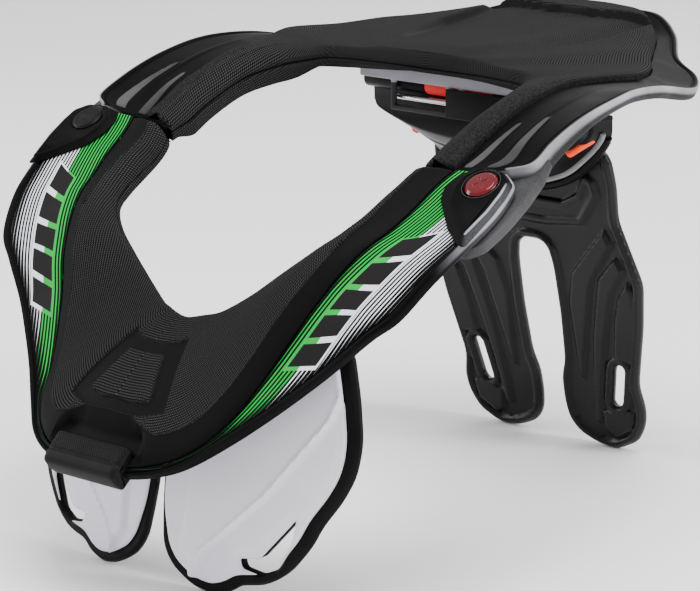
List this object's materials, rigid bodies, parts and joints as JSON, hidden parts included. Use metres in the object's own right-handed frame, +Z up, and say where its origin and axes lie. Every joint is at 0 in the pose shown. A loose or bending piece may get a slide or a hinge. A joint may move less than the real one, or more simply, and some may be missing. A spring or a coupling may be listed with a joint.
{
  "type": "motocross neck brace",
  "caption": "Protective neck brace ring in two halves that opens at a side hinge, with padded neck edge, chest wings and a folding back strut.",
  "frame": {"origin": "on the floor, under the middle of the brace's bounding box", "axes": "+X the wearer's left, -Y the wearer's front, +Z up"},
  "size_m": [0.261, 0.3592, 0.2106],
  "materials": {
    "frame_black": "satin",
    "pad_fabric": "fine knit over foam",
    "edge_rubber": "matte",
    "wing_white": "satin, fine grain",
    "hanger_grey": "satin",
    "button_red": "gloss",
    "tab_orange": "gloss",
    "rod_steel": "polished"
  },
  "bodies": {
    "rear_half": {"rear_frame": "frame_black", "rear_pad": "pad_fabric", "strut_hanger": "hanger_grey", "pivot_sleeve_left": "frame_black", "pivot_sleeve_right": "frame_black", "pivot_collar_left": "button_red", "pivot_collar_right": "button_red", "lock_rod_left": "rod_steel", "lock_rod_right": "rod_steel"},
    "front_half": {"front_frame": "frame_black", "front_pad": "pad_fabric", "front_clip": "frame_black", "hinge_cover_left": "frame_black", "hinge_cover_right": "frame_black", "hinge_cap": "frame_black", "chest_wing_left": "wing_white", "chest_wing_right": "wing_white", "chest_wing_edge_left": "edge_rubber", "chest_wing_edge_right": "edge_rubber", "chest_bridge": "frame_black"},
    "button": {"release_button": "button_red"},
    "strut": {"back_strut": "frame_black", "strut_cradle": "frame_black", "slider_tab_left": "tab_orange", "slider_tab_right": "tab_orange"}
  },
  "joints": [
    {"name": "front_swing", "type": "hinge", "parent": "rear_half", "child": "front_half", "pos_m": [-0.114, -0.05808, 0.171], "axis": [0, 0.5402, -0.8415], "range_deg": [0, 50]},
    {"name": "button_press", "type": "slide", "parent": "front_half", "child": "button", "axis": [0, 0.5402, -0.8415], "range_m": [0, 0.002], "stiffness_N_per_m": 200},
    {"name": "strut_fold", "type": "hinge", "parent": "rear_half", "child": "strut", "pos_m": [0, 0.06992, 0.1825], "axis": [-1, 0, 0], "range_deg": [0, 20]}
  ]
}
